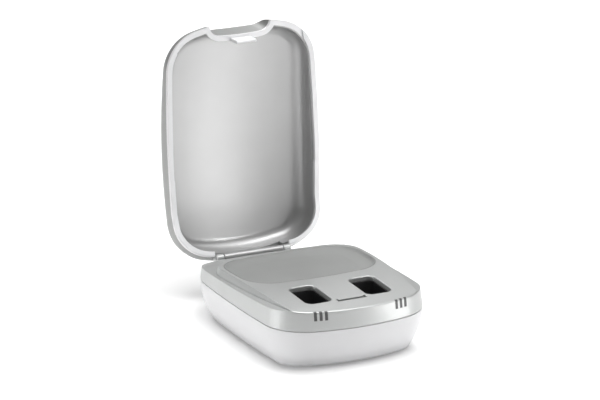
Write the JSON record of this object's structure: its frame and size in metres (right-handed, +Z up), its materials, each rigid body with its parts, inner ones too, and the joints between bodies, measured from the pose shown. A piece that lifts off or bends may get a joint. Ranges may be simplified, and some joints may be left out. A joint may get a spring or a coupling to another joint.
{
  "type": "hearing aid charger",
  "caption": "Pebble-shaped desk charging case with deep charging wells, a shallow tray, indicator windows and a hinged lid shown open.",
  "frame": {"origin": "centre of the anti-slip pad's underside, on the surface that the charger stands on", "axes": "+Z up, -Y towards the front with the indicator windows, +X to the user's right"},
  "size_m": [0.068, 0.1213, 0.11],
  "materials": {
    "shell_white": "satin white moulding",
    "case_silver": "fine-grained silver-grey moulding",
    "liner_silver": "smooth silver-grey moulding",
    "rim_white": "bright white moulding",
    "tray_grey": "soft-touch grey",
    "cup_black": "dark matte moulding",
    "window_smoke": "smoked clear moulding",
    "pad_rubber": "matte rubber",
    "steel": "bright steel",
    "socket_metal": "drawn metal skin",
    "copper": "enamelled copper wire",
    "ferrite": "dark sintered ferrite",
    "board_green": "green solder resist",
    "chip_black": "moulded package",
    "ceramic": "tan ceramic with tinned ends",
    "lamp_white": "clear lamp body",
    "ribbon_orange": "polyimide film"
  },
  "bodies": {
    "base": {"bottom_shell": "shell_white", "top_cover": "case_silver", "tray_liner": "tray_grey", "charging_cup_left": "cup_black", "charging_cup_right": "cup_black", "light_pipe_left": "window_smoke", "light_pipe_right": "window_smoke", "hinge_pin": "steel", "charging_coil_left": "copper", "charging_coil_right": "copper", "ferrite_left": "ferrite", "ferrite_right": "ferrite", "main_board": "board_green", "control_chip": "chip_black", "driver_chips": "chip_black", "power_inductor": "ferrite", "capacitors": "ceramic", "usb_socket": "socket_metal", "led_board": "board_green", "status_leds": "lamp_white", "ribbon_cable": "ribbon_orange", "catch_spring": "steel", "case_screws": "steel", "board_screws": "steel", "anti_slip_pad": "pad_rubber"},
    "lid": {"lid_shell": "case_silver", "lid_trim_ring": "rim_white", "lid_liner": "liner_silver", "lid_catch": "rim_white"}
  },
  "joints": [
    {"name": "lid_hinge", "type": "hinge", "parent": "base", "child": "lid", "pos_m": [0, 0.0462, 0.0169], "axis": [1, 0, 0], "range_deg": [0, 92]}
  ]
}
